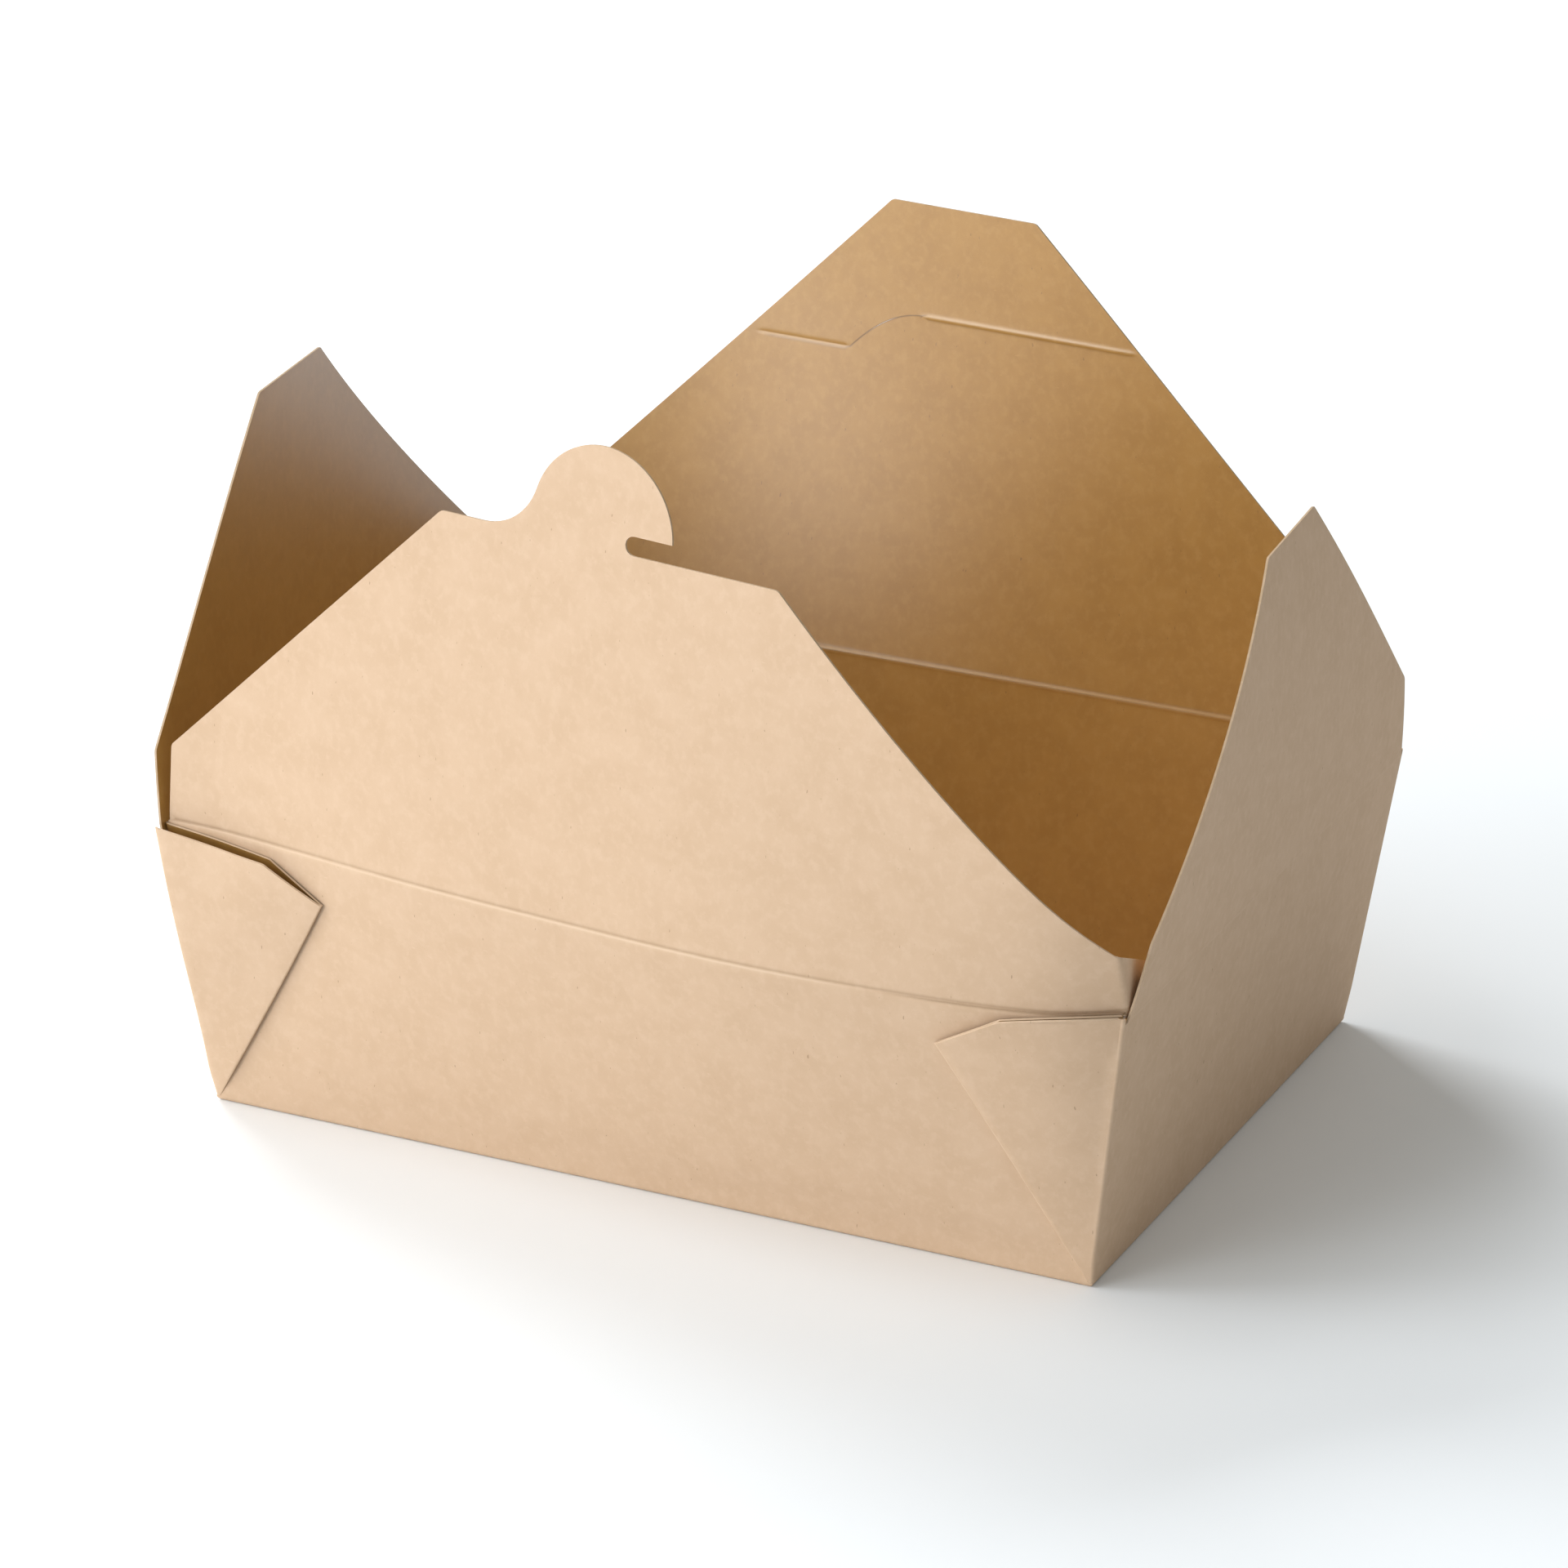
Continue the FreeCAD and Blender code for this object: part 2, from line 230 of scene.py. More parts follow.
def natural_spline(points):
    """Function through (x, y) points with no bend at either end."""
    x, y = np.array(points, float).T
    n = len(x)
    h = np.diff(x)
    a = np.eye(n)
    b = np.zeros(n)
    for i in range(1, n - 1):
        a[i, i - 1:i + 2] = h[i - 1], 2 * (h[i - 1] + h[i]), h[i]
        b[i] = 6 * ((y[i + 1] - y[i]) / h[i] - (y[i] - y[i - 1]) / h[i - 1])
    m = np.linalg.solve(a, b)

    def value(q):
        q = np.clip(np.asarray(q, float), x[0], x[-1])
        i = np.clip(np.searchsorted(x, q) - 1, 0, n - 2)
        left = x[i + 1] - q
        right = q - x[i]
        return ((m[i] * left ** 3 + m[i + 1] * right ** 3) / (6 * h[i])
                + (y[i] / h[i] - m[i] * h[i] / 6) * left
                + (y[i + 1] / h[i] - m[i + 1] * h[i] / 6) * right)
    return value


front_bulge = natural_spline(BULGE)


def bead(distance, width=0.55, height=0.2):
    """Raised line that a pressed crease leaves on the inside of the board."""
    return height * np.exp(-(np.asarray(distance) / width) ** 2)


def crease_tone(u, bulge):
    """Strength of the pale line on a crease, partly wear and partly painted highlight; along the
    right end of the bowed crease it sinks into a line of painted shade.
    """
    if not bulge:
        return CREASE_WEAR_AND_HIGHLIGHT
    return CREASE_WEAR_AND_HIGHLIGHT - CREASE_PAINTED_SHADE * float(smooth((u - DARK_FROM) / DARK_RUN))


def line_falloff(distance):
    """Share of a painted line's tone at a distance from its middle: pale wear and painted
    highlight on a crease, or painted shade.
    """
    return math.exp(-(float(distance) / LINE_FALLOFF_WIDTH) ** 2)


def end_half(z):
    """Outside half length of the tray at height z."""
    return END_HALF + END_FLARE * z / END_CREASE


def line_x(z, low, high):
    """x on the line between two (x, z) points at height z."""
    t = (z - low[1]) / (high[1] - low[1])
    return low[0] + t * (high[0] - low[0])


class Web:
    """Shape of a corner web seen on its long wall, at x > 0."""

    def __init__(self, tip, knee, top, stand, corner_stand, hump, lift_off):
        self.tip = tip
        self.knee = knee
        self.top = top
        self.stand = stand
        self.corner_stand = corner_stand
        self.hump = hump
        self.lift_off = lift_off

    def edge(self, z):
        """Inner limit at height z: the diagonal fold, or the free edge above the tip."""
        if z <= self.tip[1]:
            return line_x(z, (END_HALF, 0.0), self.tip)
        if z <= self.knee[1]:
            return line_x(z, self.tip, self.knee)
        return line_x(z, self.knee, (end_half(self.top), self.top))

    def opening(self, x, z):
        """How far the outer half stands off the inner half."""
        away = (x - line_x(z, (END_HALF, 0.0), self.tip)) * WEB_SLANT
        to_corner = smooth((x - self.knee[0]) / (end_half(z) - self.knee[0]))
        stand = self.stand + (self.corner_stand - self.stand) * to_corner
        part = np.sin(np.clip(away / WEB_REACH, 0, 1) * math.pi / 2)
        return stand * part * smooth(z / WEB_RISE)

    def lift(self, x, z):
        """Extra height of the upper part, which makes the free edge slightly convex."""
        t = np.clip((x - self.knee[0]) / (end_half(z) - self.knee[0]), 0, 1)
        return self.hump * np.sin(math.pi * t) * smooth((z - self.tip[1]) / 7.0)


class LongWall:
    """Shape of one long wall, seen from outside with its outward side towards -Y."""

    def __init__(self, crease, bulge, left_web, right_web):
        self.crease = crease
        self.bulge = bulge
        self.webs = {-1: Web(*left_web), 1: Web(*right_web)}

    def out(self, x, z):
        """Distance of the wall's middle surface from the box's long axis plane."""
        x = np.asarray(x, float)
        flat = LONG_HALF - BOARD / 2 + LONG_FLARE * z / self.crease
        grow = smooth(z / 12.0) * z / self.crease
        swell = self.bulge(x / (end_half(z) - BOARD)) * grow
        return flat + swell + self.dent(x, z) - bead(z - self.crease)

    def dent(self, x, z):
        """Shallow unevenness of the board."""
        r = z / self.crease
        wave = np.sin(x / 31.0 + 0.7) * DENT + np.sin(x / 17.0 + z / 23.0) * RIPPLE
        return wave * 4 * r * (1 - r)

    def web_out(self, x, z, layer, side):
        """The same for a web's layer: 1 is the inner half, 2 the outer half."""
        web = self.webs[side]
        step = LAYER * layer * smooth(z / LAYER_RISE)
        if layer > 0:
            away = (end_half(z) - abs(x)) / max(end_half(z) - web.edge(z), 0.5)
            step = step + web.lift_off * smooth(z / 22.0) * np.clip(away, 0, 1)
        if layer == 2:
            step = step + web.opening(abs(x), z)
        return self.out(x, z) + step


def wall_rows(top):
    """Heights of the mesh rows of a wall; every wall uses the same heights."""
    rows = list(np.arange(FOOT, 52.0, 2.3)) + [56.5, 58.3, END_CREASE - 0.5]
    for web in (WEB_PLAIN, WEB_FRONT_LEFT, WEB_FRONT_RIGHT):
        rows += [web[0][1], web[1][1], web[2]]
    for crease in (END_CREASE, BACK_CREASE, FRONT_CREASE):
        rows += [crease - d for d in (1.2, 0.8, 0.6, 0.45, 0.3, 0.15, 0.0)]
    return sorted({round(float(z), 3) for z in rows if z <= top + 1e-6})


PLACES = np.concatenate([[-1.0, -0.995, -0.985], np.linspace(-0.97, 0.97, 109),
                         [0.985, 0.995, 1.0]])
SIDES = np.concatenate([[-1.0, -0.99], np.linspace(-0.97, 0.97, 61), [0.99, 1.0]])
WEB_STEPS = np.linspace(0, 1, 14)
TURN = np.linspace(0, math.pi, 9)
QUARTER = np.linspace(0, math.pi / 2, 6)


def corner_points(wall, z, side):
    """Section of one folded corner at height z, from the long wall round to the end wall.

    Returns three runs: the inner half web from the wall's end to the web's edge, the fold at
    that edge, and the outer half web with the corner bend. Each point is (x, out, z).
    """
    web = wall.webs[side]
    x_end = end_half(z) - BOARD / 2
    y_foot = float(wall.out(side * x_end, z))
    if z < FOOT:
        point = (x_end, y_foot, z)
        inner = [point] * (len(TURN) + len(WEB_STEPS))
        return inner, [point] * len(TURN), [point] * (len(WEB_STEPS) + len(QUARTER))
    radius = LAYER * smooth(z / LAYER_RISE) / 2
    x_turn = wall_end_x(z)
    edge = min(web.edge(z), x_turn - 0.02)
    base = float(wall.web_out(side * x_turn, z, 0, side))
    inner = [(x_turn + radius * math.sin(a), base + radius * (1 - math.cos(a)), z) for a in TURN]
    for t in WEB_STEPS:
        x = x_turn + (edge - x_turn) * t
        inner.append((x, float(wall.web_out(side * x, z, 1, side)), z + float(web.lift(x, z))))
    middle = float(wall.web_out(side * edge, z, 1.5, side))
    fold = [(edge - radius * math.sin(a), middle - radius * math.cos(a), z) for a in TURN]
    return inner, fold, outer_run(wall, z, side, edge, x_end - CORNER_ROUND)


def outer_run(wall, z, side, edge, bend_x):
    """Outer half web at height z, from the fold's edge through the corner bend."""
    outer = []
    for t in WEB_STEPS:
        x = edge + (bend_x - edge) * t
        rise = float(wall.webs[side].lift(x, z))
        outer.append((x, float(wall.web_out(side * x, z, 2, side)), z + rise))
    y_bend = outer[-1][1] - CORNER_ROUND
    outer += [(bend_x + CORNER_ROUND * math.sin(a), y_bend + CORNER_ROUND * math.cos(a), z)
              for a in QUARTER]
    return outer


def wall_end_x(z):
    """Half length of a long wall's own panel, inside the fold to its web."""
    if z < FOOT:
        return end_half(z) - BOARD / 2
    return end_half(z) - 1.5 * BOARD - LAYER_AIR - LAYER * smooth(z / LAYER_RISE) / 2


def base_rows():
    """(height, inset) pairs of the bend between the bottom and the walls."""
    return [(BOARD / 2 + BASE_ROUND * (1 - math.cos(a)), BASE_ROUND * (1 - math.sin(a)))
            for a in np.linspace(0, math.pi / 2, 5)]


class Mesh:
    """Collects grids of points with flat-sheet coordinates and makes one welded mesh."""

    def __init__(self):
        self.points = []
        self.flat = []
        self.wear_and_painted_light = []
        self.faces = []

    def grid(self, points, flat, wear_and_painted_light, keep=None):
        """Add a grid of points; keep(i, j) says whether the cell above point i, j is kept."""
        rows, columns = len(points), len(points[0])
        first = len(self.points)
        for row, flat_row, tone_row in zip(points, flat, wear_and_painted_light):
            self.points += [tuple(p) for p in row]
            self.flat += [tuple(p) for p in flat_row]
            self.wear_and_painted_light += [float(w) for w in tone_row]
        for i in range(rows - 1):
            for j in range(columns - 1):
                if keep is None or keep(i, j):
                    a = first + i * columns + j
                    self.faces.append((a, a + 1, a + columns + 1, a + columns))

    def build(self, name):
        """Object with welded points, made from the collected grids."""
        mesh = bpy.data.meshes.new(name)
        mesh.from_pydata([Vector(p) * MM for p in self.points], [], self.faces)
        layer = mesh.uv_layers.new(name="sheet")
        for loop in mesh.loops:
            u, v = self.flat[loop.vertex_index]
            layer.data[loop.index].uv = (u / SHEET_UNIT, v / SHEET_UNIT)
        mesh.attributes.new("wear_and_painted_light", "FLOAT", "POINT").data.foreach_set("value", self.wear_and_painted_light)
        sheet = bmesh.new()
        sheet.from_mesh(mesh)
        bmesh.ops.remove_doubles(sheet, verts=sheet.verts, dist=0.004 * MM)
        bmesh.ops.dissolve_degenerate(sheet, edges=sheet.edges, dist=0.002 * MM)
        loose = [v for v in sheet.verts if not v.link_faces]
        bmesh.ops.delete(sheet, geom=loose, context="VERTS")
        sheet.to_mesh(mesh)
        sheet.free()
        obj = bpy.data.objects.new(name, mesh)
        bpy.context.scene.collection.objects.link(obj)
        return obj


def thicken(obj, materials):
    """Give a sheet its board thickness, with its own material inside and on cut edges."""
    for material in materials:
        obj.data.materials.append(material)
    modifier = obj.modifiers.new("board", "SOLIDIFY")
    modifier.thickness = BOARD * MM
    modifier.offset = 0
    modifier.material_offset = 1
    modifier.material_offset_rim = 2
    depsgraph = bpy.context.evaluated_depsgraph_get()
    mesh = bpy.data.meshes.new_from_object(obj.evaluated_get(depsgraph))
    obj.modifiers.clear()
    obj.data = mesh
    mesh.shade_smooth()
    mesh.set_sharp_from_angle(angle=math.radians(38))
    return obj


def place(wall_sign, x, out, z):
    """Point of a long wall: sign -1 is the front, +1 the back, which is turned half round."""
    return (-wall_sign * x, wall_sign * out, z)


def long_side(mesh, wall, sign, shift):
    """Add a long wall with the layers of its two corner webs and their outer halves."""
    bend = base_rows()
    heights = [z for z, inset in bend] + [z for z in wall_rows(wall.crease) if z > bend[-1][0]]
    insets = [inset for z, inset in bend] + [0.0] * (len(heights) - len(bend))
    panel, panel_flat, panel_tone = [], [], []
    corners = {side: ([], [], [], []) for side in (-1, 1)}
    for z, inset in zip(heights, insets):
        half = wall_end_x(z) - inset
        x = PLACES * half
        out = wall.out(x, z) - inset
        panel.append([place(sign, a, b, z) for a, b in zip(x, out)])
        panel_flat.append([(a + shift, z) for a in x])
        # Pale line of wear and painted highlight along the crease, sinking into painted shade at
        # the bowed crease's right end
        panel_tone.append([line_falloff(z - wall.crease) * crease_tone(a, sign < 0) for a in x])
        for side in (-1, 1):
            runs = corner_points(wall, z, side)
            for k, run in enumerate(runs):
                corners[side][k].append([place(sign, side * (a - inset), b - inset, c)
                                         for a, b, c in run])
            corners[side][3].append(z)
    mesh.grid(panel, panel_flat, panel_tone)
    for side in (-1, 1):
        add_web(mesh, wall.webs[side], corners[side], side, shift)
    return heights, corners


def add_web(mesh, web, runs, side, shift):
    """Add the inner half, the fold and the outer half of one corner web."""
    inner, fold, outer, heights = runs
    # Painted shade on the inner half web and its turn, in the gap behind the outer half
    inner_painted_shade = [INNER_TURN_PAINTED_SHADE] * len(TURN) + [INNER_WEB_PAINTED_SHADE] * len(WEB_STEPS)
    # Painted shade on a wide-open web's fold, painted highlight on a tight web's fold
    fold_painted_light = FOLD_PAINTED_SHADE if web.stand > WEB_OPEN else FOLD_PAINTED_HIGHLIGHT
    outer_tone = [0.0] * len(WEB_STEPS) + [CORNER_WEAR] * len(QUARTER)
    for run, limit, offset, wear_and_painted_light in ((inner, web.top, INNER_SHEET, inner_painted_shade),
                                     (fold, web.tip[1], FOLD_SHEET, fold_painted_light),
                                     (outer, web.top, OUTER_SHEET, outer_tone)):
        flat = [[(side * (offset - abs(p[0])) + shift, p[2]) for p in row] for row in run]
        kept = [z <= limit + 1e-6 for z in heights]
        mesh.grid(run, flat, [wear_and_painted_light] * len(run), lambda i, j: kept[i + 1])


def tray(front, back, materials):
    """The folded tray, as one sheet."""
    mesh = Mesh()
    runs = {-1: long_side(mesh, front, -1, 0.0), 1: long_side(mesh, back, 1, BACK_SHEET)}
    for end in (-1, 1):
        add_end_wall(mesh, runs, end)
    add_bottom(mesh, front)
    obj = mesh.build("tray_sheet")
    recalculate_outward(obj)
    return thicken(obj, materials)


def add_end_wall(mesh, runs, end):
    """Add an end wall between the corner bends of the two long sides."""
    bend = base_rows()
    rows = [z for z, inset in bend] + [z for z in wall_rows(END_CREASE) if z > bend[-1][0]]
    grid, flat, wear_and_painted_light = [], [], []
    for z in rows:
        ends = []
        for sign in (-1, 1):
            heights, corners = runs[sign]
            ends.append(Vector(corners[-sign * end][2][heights.index(z)][-1]))
        bow = END_BOW * math.sin(math.pi * min(z / END_CREASE, 1.0)) * end
        line = end * float(bead(z - END_CREASE)) * END_BEAD[end]
        row = []
        for q in SIDES:
            y = ends[0].y + (ends[1].y - ends[0].y) * (q + 1) / 2
            swell = bow * (1 - q * q) * (1 + 0.5 * math.sin(y / 24.0))
            row.append((ends[0].x + swell - line, y, z))
        grid.append(row)
        flat.append([(p[1] + end * END_SHEET, p[2]) for p in row])
        # Pale line of wear and painted highlight along the end wall's crease
        wear_and_painted_light.append([line_falloff(z - END_CREASE) * END_BEAD[end]] * len(row))
    mesh.grid(grid, flat, wear_and_painted_light)


def add_bottom(mesh, front):
    """Add the bottom, which has the same columns as the walls."""
    z = BOARD / 2
    x_half = end_half(z) - BOARD / 2 - BASE_ROUND
    y_front = float(front.out(0, z)) - BASE_ROUND
    grid = [[(p * x_half, y_front * q, z) for p in PLACES] for q in SIDES]
    mesh.grid(grid, [[(p[0], p[1] + BOTTOM_SHEET) for p in row] for row in grid],
              [[0.0] * len(row) for row in grid])


def recalculate_outward(obj):
    """Turn every face of a sheet the same way, with the bottom facing down."""
    sheet = bmesh.new()
    sheet.from_mesh(obj.data)
    bmesh.ops.recalc_face_normals(sheet, faces=sheet.faces)
    lowest = min(sheet.faces, key=lambda f: f.calc_center_median().z
                 + abs(f.calc_center_median().x) + abs(f.calc_center_median().y))
    if lowest.normal.z > 0:
        bmesh.ops.reverse_faces(sheet, faces=sheet.faces)
    sheet.to_mesh(obj.data)
    sheet.free()


class Flap:
    """Flap in its own frame: u along the crease, s up from it, outward is -Y."""

    def __init__(self, name, half, shoulders, top, height, pose, wall_out, crease, degrees,
                 bulge=None, marks=(), crease_bead=1.0, ear_deep=0.0):
        self.name = name
        self.shoulders = shoulders
        self.crease_bead = crease_bead
        self.ear_deep = ear_deep
        self.base_half, self.shoulder_half = half
        self.top_half = top
        self.height = height
        self.lean, self.twist, self.belly = pose
        self.wall_out = wall_out
        self.crease = crease
        self.turn = Matrix.Rotation(math.radians(degrees), 3, "Z")
        self.bulge = bulge
        self.marks = marks

    def out(self, u, s):
        """How far the board's middle surface stands out beyond the straight crease."""
        u, s = np.asarray(u, float), np.asarray(s, float)
        r = s / self.height
        swell = self.bulge(u / BOW_HALF) if self.bulge else 0.0
        bend = self.lean * s + self.twist * u * r + 4 * self.belly * r * (1 - r)
        waves = 0.22 * np.sin(u / 19.0 + 1.1) * np.sin(s / 27.0) * np.minimum(r * 3, 1)
        crease = bead(s) * self.crease_bead
        return (1 - r) * swell + bend + waves - crease - self.mark_height(u, s)

    def mark_height(self, u, s):
        """Height of the pressed lines on the inside."""
        total = np.zeros(np.broadcast(u, s).shape)
        for (u0, u1, level, height) in self.marks:
            lo, hi = min(u0, u1), max(u0, u1)
            beyond = np.maximum(0, np.maximum(lo - u, u - hi))
            ends = np.exp(-(beyond / LINE_GAP) ** 2)
            total = total + bead(s - level, LINE_WIDTH, height) * ends
        return total

    def wear_and_painted_light(self, u, s):
        """Tone at the crease and at the raised lines: a pale line of wear and painted highlight,
        with a line of painted shade beside it.
        """
        tone = crease_tone(u, self.bulge is not None)
        # Pale line of wear and painted highlight on the crease, with painted shade in a line just
        # above it
        result = (tone * line_falloff(s) - 0.3 * line_falloff(s - 0.7)) * self.crease_bead
        for (u0, u1, level, height) in self.marks:
            if min(u0, u1) <= u <= max(u0, u1) and abs(s - level) < 1.5:
                # Painted highlight on a raised line and painted shade along its side; the lower
                # line gets little highlight
                strength = 0.45 if height > 0 else 0.1
                result = strength * line_falloff(s - level) - 0.35 * line_falloff(s - level + 0.6)
        return result

    def point(self, u, s):
        """Point of the middle surface in the box's frame."""
        flat_u, back = self.ear(u, s)
        out = float(self.out(flat_u, s)) - back
        local = Vector((flat_u, -(self.wall_out - BOARD / 2 + out), self.crease + s))
        return self.turn @ local

    def ear(self, u, s):
        """Place along the flap and depth behind it of a point, which may lie on the ear."""
        fold = self.side(s)
        past = u - fold
        if not self.ear_deep or past <= 0:
            return u, 0.0
        angle = math.radians(EAR_ANGLE)
        turn = min(past, 1.0) * angle
        arc_u = math.sin(turn) / angle
        arc_back = (1 - math.cos(turn)) / angle
        rest = max(past - 1.0, 0.0)
        curve = EAR_CURVE[0] * rest + EAR_CURVE[1] * rest ** 2
        return fold + arc_u + curve, arc_back + rest

    def side(self, s):
        """Place of the ear's fold at height s."""
        return EAR_BASE + (EAR_SHOULDER[0] - EAR_BASE) * s / EAR_SHOULDER[1]


def arc(centre, radius, start, end, count):
    """Points of an arc, angles in degrees."""
    angles = np.radians(np.linspace(start, end, count))
    return [(centre[0] + radius * math.cos(a), centre[1] + radius * math.sin(a)) for a in angles]


def hook_outline(height, top_half):
    """Free edge of the front flap from right to left, with its hook and notch."""
    centre = (HOOK_CENTRE, height + HOOK_RISE)
    notch_round = HOOK_RISE / 2
    notch_centre = (NOTCH_END + notch_round, height + notch_round)
    run = math.sqrt((HOOK_RADIUS + HOOK_FILLET) ** 2 - (HOOK_FILLET - HOOK_RISE) ** 2)
    hollow = (centre[0] - run, height + HOOK_FILLET)
    slope = math.degrees(math.atan2(centre[1] - hollow[1], centre[0] - hollow[0]))
    points = [(top_half, height)]
    points += arc(notch_centre, notch_round, 270, 90, 9)
    points += arc(centre, HOOK_RADIUS, 0, 180 + slope, 40)
    points += arc(hollow, HOOK_FILLET, slope, -90, 14)[1:]
    points.append((-top_half, height))
    return points


def slit_outline(width):
    """Closed outline of the S-shaped cut in the back flap, or of a wider band around it."""
    middle = []
    for t in np.linspace(0, 1, 17):
        u = SLIT_START + (SLIT_FINISH - SLIT_START) * t
        rise = 1 - (1 - float(t)) ** SLIT_CURVE
        middle.append((u, SLIT_LOW + (SLIT_HIGH - SLIT_LOW) * rise))
    half = width / 2
    return [(u + half * 0.7, s + half) for u, s in middle] + [
        (u - half * 0.7, s - half) for u, s in reversed(middle)]


def rounded(points, radius, count=5):
    """Round the corners of an open run of points, apart from its two ends."""
    result = [points[0]]
    for before, corner, after in zip(points, points[1:], points[2:]):
        a = (Vector(before) - Vector(corner)).normalized()
        b = (Vector(after) - Vector(corner)).normalized()
        start = Vector(corner) + a * radius
        end = Vector(corner) + b * radius
        for t in np.linspace(0, 1, count).tolist():
            p = (1 - t) ** 2 * start + 2 * t * (1 - t) * Vector(corner) + t * t * end
            result.append((p.x, p.y))
    result.append(points[-1])
    return result


# Columns and rows of the flaps' points: along the flap, over the ear, up from the crease,
# over the bowed fold, and around a pressed line
FLAP_PLACES = np.arange(-106.0, 104.1, 2.0)
EAR_PLACES = [105.2, 105.45, 105.7, 105.95, 106.2, 106.5, 107, 109, 111, 113, 115]
CREASE_LEVELS = [0.12, 0.25, 0.4, 0.6, 0.8, 1.0, 1.3, 1.8]
BOW_LEVELS = [4.2, 5.4, 6.6, 7.8, 9.0]
LINE_LEVELS = (-1.2, -0.8, -0.6, -0.4, -0.2, 0.0, 0.2, 0.4, 0.7, 1.2)
EDGE_STEP = 2.02


def flap_outline(flap, free_edge):
    """Outline of a flap, counter-clockwise from the right end of its crease."""
    left_shoulder, right_shoulder = flap.shoulders
    right = [(flap.base_half, 0.0), (flap.shoulder_half, right_shoulder),
             (flap.top_half, flap.height)]
    left = [(-flap.top_half, flap.height), (-flap.shoulder_half, left_shoulder),
            (-flap.base_half, 0.0)]
    crease = [(float(u), 0.0) for u in FLAP_PLACES if abs(u) < flap.base_half - 1.0]
    if not free_edge:
        return rounded(right + left, FLAP_ROUND) + crease
    start = rounded(right + [free_edge[1]], FLAP_ROUND)[:-1]
    end = rounded([free_edge[-2]] + left, FLAP_ROUND)[1:]
    ear = []
    if flap.ear_deep:
        far = EAR_SHOULDER[0] + flap.ear_deep
        foot = [(EAR_BASE, 0.0), (EAR_BASE + 0.2, -EAR_DROP), (EAR_BASE + 1.0, -EAR_DROP)]
        ear = foot + [(far, EAR_LOW), (far, EAR_TOP), (far - 5.0, EAR_TOP + 2.7), EAR_SHOULDER]
        start = [p for p in start if p[1] > EAR_SHOULDER[1] + 5]
    return ear + start + free_edge[1:-1] + end + crease


def inside(point, outline):
    """Whether a point lies inside a closed outline."""
    x, y = point
    result = False
    for (x0, y0), (x1, y1) in zip(outline, outline[1:] + outline[:1]):
        if (y0 > y) != (y1 > y) and x < (x1 - x0) * (y - y0) / (y1 - y0) + x0:
            result = not result
    return result


def divided(outline, step):
    """Outline with its long sides divided."""
    result = []
    for a, b in zip(outline, outline[1:] + outline[:1]):
        length = math.dist(a, b)
        count = max(1, int(math.ceil(length / step)))
        for k in range(count):
            t = k / count
            result.append((a[0] + (b[0] - a[0]) * t, a[1] + (b[1] - a[1]) * t))
    return result


def fill_points(flap, outline, holes):
    """Points inside a flap's outline, denser along its crease and its pressed lines."""
    levels = list(CREASE_LEVELS)
    if flap.bulge:
        levels += BOW_LEVELS
    for u0, u1, level, height in flap.marks:
        levels += [level + d for d in LINE_LEVELS]
    top = max(s for u, s in outline)
    levels += list(np.arange(3.0, top, 2.4))
    result = []
    for s in sorted(levels):
        for u in list(FLAP_PLACES) + EAR_PLACES:
            point = (float(u), float(s))
            shifted = [(point[0] + dx, point[1] + dy)
                       for dx, dy in ((0.4, 0), (-0.4, 0), (0, 0.1), (0, -0.1))]
            if not all(inside(q, outline) for q in shifted):
                continue
            if any(abs(q[0] - point[0]) < 0.7 and abs(q[1] - point[1]) < 0.7
                   for hole in holes for q in hole):
                continue
            result.append(point)
    return result


def flap_piece(flap, materials, free_edge=None, holes=()):
    """Flap as a curved board of its own outline."""
    outline = divided(flap_outline(flap, free_edge), EDGE_STEP)
    points = list(outline)
    edges = [(i, (i + 1) % len(outline)) for i in range(len(outline))]
    for hole in holes:
        first = len(points)
        points += hole
        edges += [(first + i, first + (i + 1) % len(hole)) for i in range(len(hole))]
        points += slit_outline(SLIT_BORDER)
    points += fill_points(flap, outline, holes)
    coords, _, faces, _, _, _ = delaunay_2d_cdt([Vector(p) for p in points], edges, [], 1, 1e-5)
    triangles = []
    for face in faces:
        centre = (sum(coords[i].x for i in face) / len(face),
                  sum(coords[i].y for i in face) / len(face))
        if inside(centre, outline) and not any(inside(centre, hole) for hole in holes):
            triangles.append(tuple(face))
    mesh = Mesh()
    mesh.points = [tuple(flap.point(c.x, c.y)) for c in coords]
    mesh.flat = [(c.x + FLAP_SHEET * flap.height, c.y) for c in coords]
    mesh.wear_and_painted_light = [flap.wear_and_painted_light(c.x, c.y) for c in coords]
    # Painted shade along the slit's cut
    for hole in holes:
        for i, c in enumerate(coords):
            if min(math.dist((c.x, c.y), p) for p in hole) < 0.1:
                mesh.wear_and_painted_light[i] = SLIT_EDGE_PAINTED_SHADE
    mesh.faces = triangles
    obj = mesh.build(flap.name)
    outward = flap.turn @ Vector((0, -1, 0))
    total = sum((p.normal * p.area for p in obj.data.polygons), Vector())
    if total.dot(outward) < 0:
        obj.data.flip_normals()
    thicken(obj, materials)
    return obj


def node(tree, kind, **values):
    """Shader node with its plain settings."""
    made = tree.nodes.new(kind)
    for key, value in values.items():
        setattr(made, key, value)
    return made


